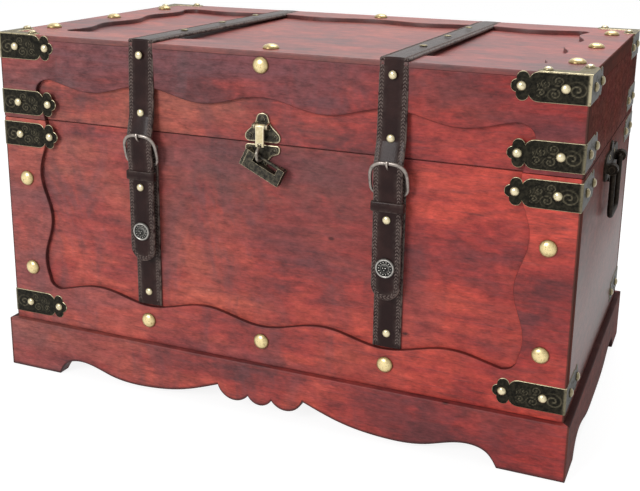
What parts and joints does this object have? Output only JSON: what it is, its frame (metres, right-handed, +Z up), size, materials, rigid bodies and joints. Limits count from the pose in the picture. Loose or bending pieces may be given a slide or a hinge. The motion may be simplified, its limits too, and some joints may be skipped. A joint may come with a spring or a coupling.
{
  "type": "treasure chest",
  "caption": "Flat-topped wooden treasure chest on a scalloped plinth, with hinged lid, strap flaps, hasp with bar padlock, drop handles and nailed metal corner brackets.",
  "frame": {"origin": "on the floor under the middle of the plinth", "axes": "+X to the chest's right seen from the front, -Y the front with the latch, +Z up"},
  "size_m": [0.625, 0.3775, 0.3756],
  "materials": {
    "stained_wood": "satin red stain",
    "dark_leather": "matt dark brown",
    "antique_bronze": "antique bronze",
    "pale_brass": "worn pale brass",
    "dark_bronze": "dark bronze",
    "pewter_wire": "dull pewter"
  },
  "bodies": {
    "chest": {"body_back_panel": "stained_wood", "body_bottom_panel": "stained_wood", "body_bracket_nails": "pale_brass", "body_dome_nails": "pale_brass", "body_front_overlay": "stained_wood", "body_front_panel": "stained_wood", "body_left_panel": "stained_wood", "body_lower_brackets": "antique_bronze", "body_right_panel": "stained_wood", "body_screws": "pewter_wire", "body_upper_brackets": "antique_bronze", "handle_plate_left": "dark_bronze", "handle_plate_right": "dark_bronze", "hinge_body_leaves": "dark_bronze", "hinge_pins": "dark_bronze", "lower_strap_left": "dark_leather", "lower_strap_right": "dark_leather", "lower_strap_rivets": "pale_brass", "plinth_back": "stained_wood", "plinth_corner_blocks": "stained_wood", "plinth_front": "stained_wood", "plinth_left": "stained_wood", "plinth_right": "stained_wood", "snap_studs": "pale_brass", "staple_loop": "dark_bronze", "staple_plate": "dark_bronze"},
    "lid": {"hasp_pin": "dark_bronze", "hasp_plate": "dark_bronze", "hinge_lid_leaves": "dark_bronze", "lid_back_panel": "stained_wood", "lid_bracket_nails": "pale_brass", "lid_corner_caps": "antique_bronze", "lid_dome_nails": "pale_brass", "lid_edge_brackets": "antique_bronze", "lid_front_overlay": "stained_wood", "lid_front_panel": "stained_wood", "lid_left_panel": "stained_wood", "lid_right_panel": "stained_wood", "lid_screws": "pewter_wire", "lid_strap_left": "dark_leather", "lid_strap_right": "dark_leather", "lid_strap_rivets": "pale_brass", "lid_top_overlay": "stained_wood", "lid_top_panel": "stained_wood"},
    "flap_left": {"flap_left": "dark_leather", "buckle_left": "pewter_wire", "keeper_left": "dark_leather", "flap_studs_left": "pale_brass"},
    "flap_right": {"flap_right": "dark_leather", "buckle_right": "pewter_wire", "keeper_right": "dark_leather", "flap_studs_right": "pale_brass"},
    "hasp": {"hasp_tongue": "pale_brass"},
    "padlock": {"padlock_body": "dark_bronze"},
    "shackle": {"padlock_shackle": "dark_bronze"},
    "bail_left": {"handle_bail_left": "dark_bronze"},
    "bail_right": {"handle_bail_right": "dark_bronze"},
    "lid_arm": {"stay_lid_arm": "dark_bronze"},
    "body_arm": {"stay_body_arm": "dark_bronze"}
  },
  "joints": [
    {"name": "lid_hinge", "type": "hinge", "parent": "chest", "child": "lid", "pos_m": [0, 0.1817, 0.282], "axis": [-1, 0, 0], "range_deg": [0, 100]},
    {"name": "flap_left_fold", "type": "hinge", "parent": "lid", "child": "flap_left", "pos_m": [-0.13, -0.1798, 0.2941], "axis": [-1, 0, 0], "range_deg": [0, 100]},
    {"name": "flap_right_fold", "type": "hinge", "parent": "lid", "child": "flap_right", "pos_m": [0.13, -0.1798, 0.2941], "axis": [-1, 0, 0], "range_deg": [0, 100]},
    {"name": "hasp_swing", "type": "hinge", "parent": "lid", "child": "hasp", "pos_m": [0, -0.1785, 0.299], "axis": [-1, 0, 0], "range_deg": [0, 115]},
    {"name": "padlock_swing", "type": "hinge", "parent": "chest", "child": "padlock", "pos_m": [0, -0.1812, 0.267], "axis": [0, -1, 0], "range_deg": [-10, 40]},
    {"name": "shackle_slide", "type": "slide", "parent": "padlock", "child": "shackle", "axis": [-0.8988, 0, 0.4384], "range_m": [0, 0.03]},
    {"name": "bail_left_swing", "type": "hinge", "parent": "chest", "child": "bail_left", "pos_m": [-0.307, 0, 0.258], "axis": [0, 1, 0], "range_deg": [0, 95]},
    {"name": "bail_right_swing", "type": "hinge", "parent": "chest", "child": "bail_right", "pos_m": [0.307, 0, 0.258], "axis": [0, -1, 0], "range_deg": [0, 95]},
    {"name": "lid_arm_pivot", "type": "hinge", "parent": "lid", "child": "lid_arm", "pos_m": [0.2886, 0.0654, 0.3001], "axis": [1, 0, 0], "range_deg": [0, 108]},
    {"name": "body_arm_pivot", "type": "hinge", "parent": "chest", "child": "body_arm", "pos_m": [0.2862, 0.1323, 0.239], "axis": [-1, 0, 0], "range_deg": [0, 112]}
  ],
  "couplings": [
    {"joint": "lid_arm_pivot", "follows": "lid_hinge", "ratio": 1.0619},
    {"joint": "body_arm_pivot", "follows": "lid_hinge", "ratio": 1.0989}
  ]
}
